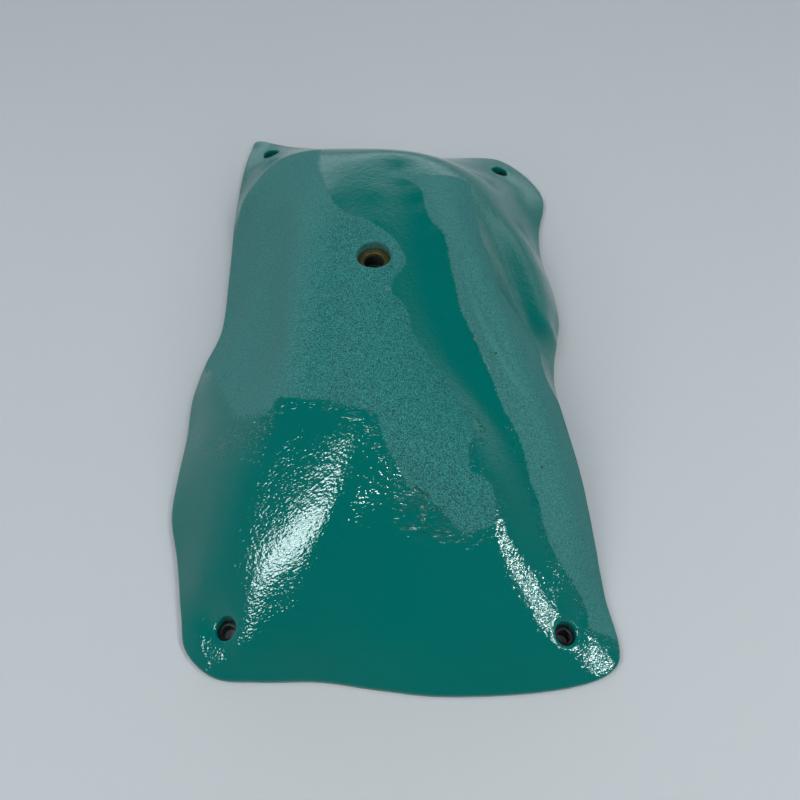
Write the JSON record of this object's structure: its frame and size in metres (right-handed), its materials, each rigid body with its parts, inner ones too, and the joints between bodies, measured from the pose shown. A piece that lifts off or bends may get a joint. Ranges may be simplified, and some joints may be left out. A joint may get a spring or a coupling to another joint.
{
  "type": "climbing hold",
  "caption": "Large hollow fibreglass climbing hold with a draped, ridged face, a recessed central bolt hole and recessed corner screw holes.",
  "frame": {"origin": "middle of the footprint on the wall plane", "axes": "+Z points away from the wall, +Y to the high end of the hold, +X to the right as seen from the front"},
  "size_m": [0.239, 0.39, 0.0799],
  "materials": {
    "gelcoat": "teal pigmented fibreglass, gloss below and stippled grip texture above, bare resin and glass mat inside",
    "cast_resin": "filled casting resin, matt, cut flat at the wall",
    "yellow_zinc": "steel, yellow passivated",
    "grey_zinc": "steel, zinc plated"
  },
  "bodies": {
    "root": {"shell": "gelcoat", "bolt_pillar": "cast_resin", "bolt_washer": "yellow_zinc", "screw_washer_low_left": "grey_zinc", "screw_washer_low_right": "grey_zinc", "screw_washer_high_left": "grey_zinc", "screw_washer_high_right": "grey_zinc", "corner_block_low_left": "cast_resin", "corner_block_low_right": "cast_resin", "corner_block_high_left": "cast_resin", "corner_block_high_right": "cast_resin"}
  },
  "joints": []
}
